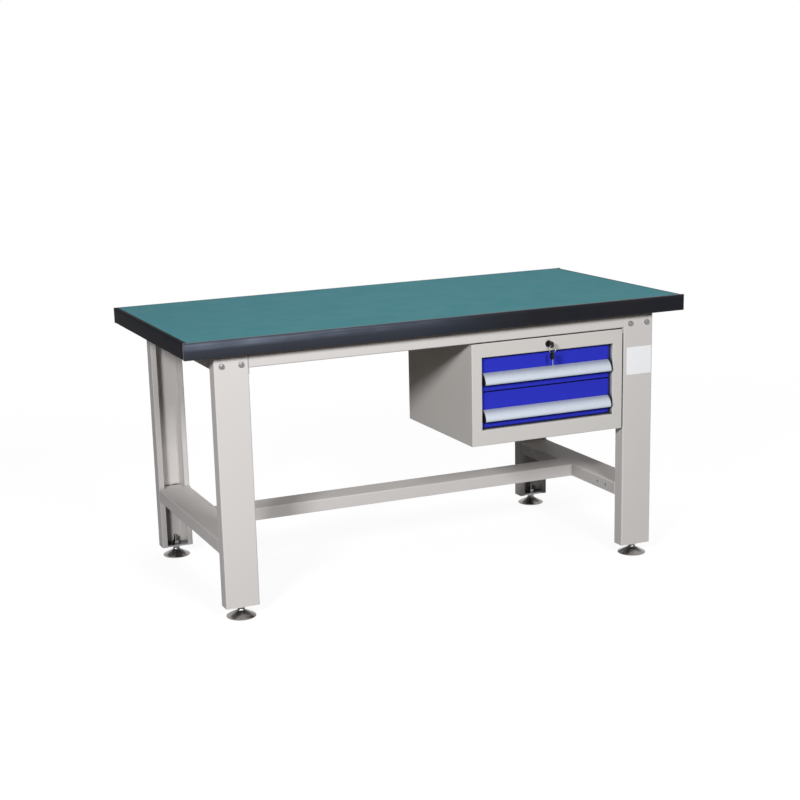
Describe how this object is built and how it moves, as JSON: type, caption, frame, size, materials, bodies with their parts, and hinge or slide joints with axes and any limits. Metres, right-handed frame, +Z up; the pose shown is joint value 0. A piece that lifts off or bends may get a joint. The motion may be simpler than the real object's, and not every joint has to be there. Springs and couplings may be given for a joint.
{
  "type": "fitters workbench",
  "caption": "Steel-framed workbench with an edged laminate worktop, levelling feet, a lower stretcher and a hung, lockable cabinet of sliding drawers.",
  "frame": {"origin": "on the floor, under the middle of the worktop's outline", "axes": "+X along the bench to the right as one stands before the drawers, +Y to the rear, +Z up"},
  "size_m": [1.5, 0.73, 0.77],
  "materials": {
    "laminate": "satin teal laminate",
    "board": "raw board",
    "edging": "black edge strip, dull",
    "frame_paint": "light grey powder coat",
    "cabinet_paint": "light grey powder coat",
    "drawer_paint": "blue powder coat",
    "handle_metal": "satin anodised",
    "black_plastic": "moulded black",
    "zinc": "zinc plated",
    "foot_metal": "bright plated",
    "slide_steel": "bright zinc",
    "lock_metal": "bright plated",
    "key_steel": "nickel plated"
  },
  "bodies": {
    "bench": {"worktop_laminate": "laminate", "worktop_core": "board", "front_edge_strip": "edging", "rear_edge_strip": "edging", "left_edge_strip": "edging", "right_edge_strip": "edging", "left_front_leg": "frame_paint", "right_front_leg": "frame_paint", "left_rear_leg": "frame_paint", "right_rear_leg": "frame_paint", "left_top_rail": "frame_paint", "right_top_rail": "frame_paint", "left_lower_rail": "frame_paint", "right_lower_rail": "frame_paint", "front_apron": "frame_paint", "rear_apron": "frame_paint", "lower_stretcher": "frame_paint", "foot_plates": "zinc", "foot_lock_nuts": "zinc", "frame_bolts": "zinc", "frame_nuts": "zinc", "apron_bolts": "zinc", "worktop_screws": "zinc", "hanger_bolts": "zinc", "lock_nut": "zinc", "cabinet_left_side": "cabinet_paint", "cabinet_right_side": "cabinet_paint", "cabinet_top": "cabinet_paint", "cabinet_bottom": "cabinet_paint", "cabinet_back": "cabinet_paint", "cabinet_hangers": "cabinet_paint", "slide_uprights": "slide_steel", "upper_slide_outers": "slide_steel", "lower_slide_outers": "slide_steel", "lock_housing": "lock_metal"},
    "upper_drawer": {"upper_drawer_tray": "cabinet_paint", "upper_drawer_front": "drawer_paint", "upper_handle": "handle_metal", "upper_handle_caps": "black_plastic", "upper_slide_inners": "slide_steel"},
    "upper_cages": {"upper_ball_cages": "slide_steel"},
    "lower_drawer": {"lower_drawer_tray": "cabinet_paint", "lower_drawer_front": "drawer_paint", "lower_handle": "handle_metal", "lower_handle_caps": "black_plastic", "lower_slide_inners": "slide_steel"},
    "lower_cages": {"lower_ball_cages": "slide_steel"},
    "lock": {"lock_plug": "lock_metal", "lock_cam": "lock_metal", "cam_nut": "zinc", "key_blade": "key_steel", "key_bow": "black_plastic"},
    "hanging_key": {"key_ring": "key_steel", "spare_key_blade": "key_steel", "spare_key_bow": "black_plastic"},
    "left_front_foot": {"left_front_foot": "foot_metal"},
    "right_front_foot": {"right_front_foot": "foot_metal"},
    "left_rear_foot": {"left_rear_foot": "foot_metal"},
    "right_rear_foot": {"right_rear_foot": "foot_metal"}
  },
  "joints": [
    {"name": "upper_drawer_slide", "type": "slide", "parent": "bench", "child": "upper_drawer", "axis": [0, -1, 0], "range_m": [0, 0.29]},
    {"name": "upper_cage_slide", "type": "slide", "parent": "bench", "child": "upper_cages", "axis": [0, -1, 0], "range_m": [0, 0.146]},
    {"name": "lower_drawer_slide", "type": "slide", "parent": "bench", "child": "lower_drawer", "axis": [0, -1, 0], "range_m": [0, 0.29]},
    {"name": "lower_cage_slide", "type": "slide", "parent": "bench", "child": "lower_cages", "axis": [0, -1, 0], "range_m": [0, 0.146]},
    {"name": "lock_turn", "type": "hinge", "parent": "bench", "child": "lock", "pos_m": [0.3215, -0.335, 0.663], "axis": [0, 1, 0], "range_deg": [0, 90]},
    {"name": "key_ring_swing", "type": "hinge", "parent": "lock", "child": "hanging_key", "pos_m": [0.3215, -0.3565, 0.663], "axis": [-1, 0, 0], "range_deg": [-10, 60]},
    {"name": "left_front_foot_screw", "type": "slide", "parent": "bench", "child": "left_front_foot", "axis": [0, 0, -1], "range_m": [0, 0.022]},
    {"name": "right_front_foot_screw", "type": "slide", "parent": "bench", "child": "right_front_foot", "axis": [0, 0, -1], "range_m": [0, 0.022]},
    {"name": "left_rear_foot_screw", "type": "slide", "parent": "bench", "child": "left_rear_foot", "axis": [0, 0, -1], "range_m": [0, 0.022]},
    {"name": "right_rear_foot_screw", "type": "slide", "parent": "bench", "child": "right_rear_foot", "axis": [0, 0, -1], "range_m": [0, 0.022]}
  ],
  "couplings": [
    {"joint": "upper_cage_slide", "follows": "upper_drawer_slide", "ratio": 0.5},
    {"joint": "lower_cage_slide", "follows": "lower_drawer_slide", "ratio": 0.5}
  ]
}
